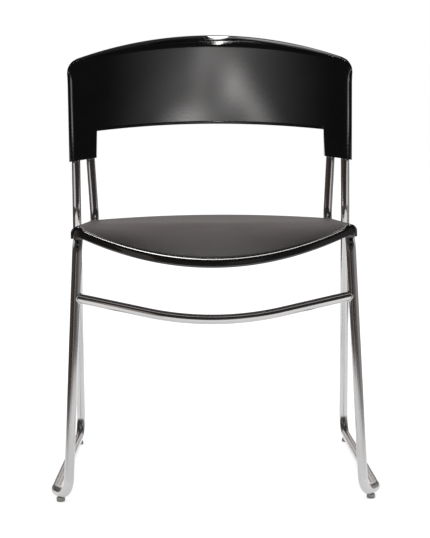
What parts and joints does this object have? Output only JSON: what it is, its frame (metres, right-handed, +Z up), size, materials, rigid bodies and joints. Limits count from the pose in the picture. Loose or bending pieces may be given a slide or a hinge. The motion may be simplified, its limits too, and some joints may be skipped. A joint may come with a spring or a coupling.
{
  "type": "sled base visitor chair",
  "caption": "Stacking visitor chair with bent chromed tube side frames on sled runners, a moulded waterfall seat and a curved moulded back sleeved on the tube ends.",
  "frame": {"origin": "centre of the footprint's bounding box, on the floor under the glides", "axes": "+X to the right as someone facing the chair sees it, +Y towards the chair's back, +Z up"},
  "size_m": [0.5438, 0.571, 0.7819],
  "materials": {
    "chrome": "polished",
    "seat_plastic": "fine satin grain",
    "back_plastic": "satin gloss",
    "screw_steel": "zinc plated",
    "glide_plastic": "matt"
  },
  "bodies": {
    "root": {"frame_left": "chrome", "frame_right": "chrome", "front_stretcher": "chrome", "rear_stretcher": "chrome", "seat_shell": "seat_plastic", "backrest_shell": "back_plastic", "seat_tab_front_left": "chrome", "seat_tab_front_right": "chrome", "seat_tab_rear_left": "chrome", "seat_tab_rear_right": "chrome", "seat_screw_front_left": "screw_steel", "seat_screw_front_right": "screw_steel", "seat_screw_rear_left": "screw_steel", "seat_screw_rear_right": "screw_steel", "back_screw_left": "screw_steel", "back_screw_right": "screw_steel", "glide_front_left": "glide_plastic", "glide_front_right": "glide_plastic", "glide_rear_left": "glide_plastic", "glide_rear_right": "glide_plastic"}
  },
  "joints": []
}
